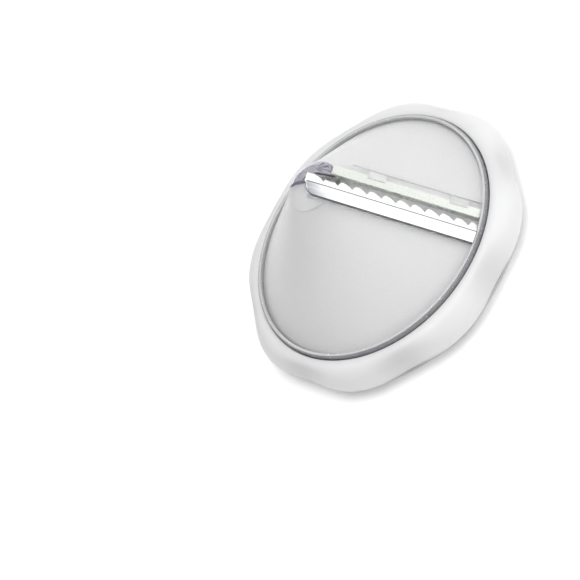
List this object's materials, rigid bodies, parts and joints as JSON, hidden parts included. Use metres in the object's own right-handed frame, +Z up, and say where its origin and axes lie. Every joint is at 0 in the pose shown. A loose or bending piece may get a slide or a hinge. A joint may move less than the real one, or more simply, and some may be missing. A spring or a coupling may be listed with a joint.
{
  "type": "conical spiral vegetable cutter",
  "caption": "Hand-turned conical spiral vegetable cutter: lobed grip ring around a clear cone with a comb blade and a slicing blade along one slot.",
  "frame": {"origin": "centre of the ring's flat underside, on the axis of the cone", "axes": "+Z up the axis from the ring towards the hub, +X from the axis along the middle of the cutting slot, +Y from the comb towards the slicing blade"},
  "size_m": [0.0938, 0.0938, 0.0456],
  "materials": {
    "frosted_white": "satin moulded, slightly translucent",
    "clear_frosted": "clear polycarbonate with a fine frosted texture",
    "clear_dome": "polished clear plastic",
    "clear_grey": "semi-clear, glossy",
    "dark_violet": "glossy",
    "grey_elastomer": "matt",
    "polished_steel": "polished stainless steel",
    "blade_steel": "ground stainless steel"
  },
  "bodies": {
    "holder": {"grip_shell": "frosted_white", "rear_cover": "frosted_white", "seat_gasket": "grey_elastomer"},
    "cartridge": {"carrier_ring": "frosted_white", "cone_gasket": "grey_elastomer", "cutting_cone": "clear_frosted", "bezel_ring": "clear_grey", "comb_blade": "blade_steel", "comb_clamp": "polished_steel", "clamp_rivets": "polished_steel", "slicing_blade": "blade_steel", "blade_clips": "clear_frosted", "hub_dome": "clear_dome", "spike_arm": "dark_violet", "pin_ferrule": "clear_grey", "spike_pin": "polished_steel"}
  },
  "joints": [
    {"name": "cartridge_twist", "type": "hinge", "parent": "holder", "child": "cartridge", "pos_m": [0, 0, 0], "axis": [0, 0, 1], "range_deg": [-45, 0]}
  ]
}
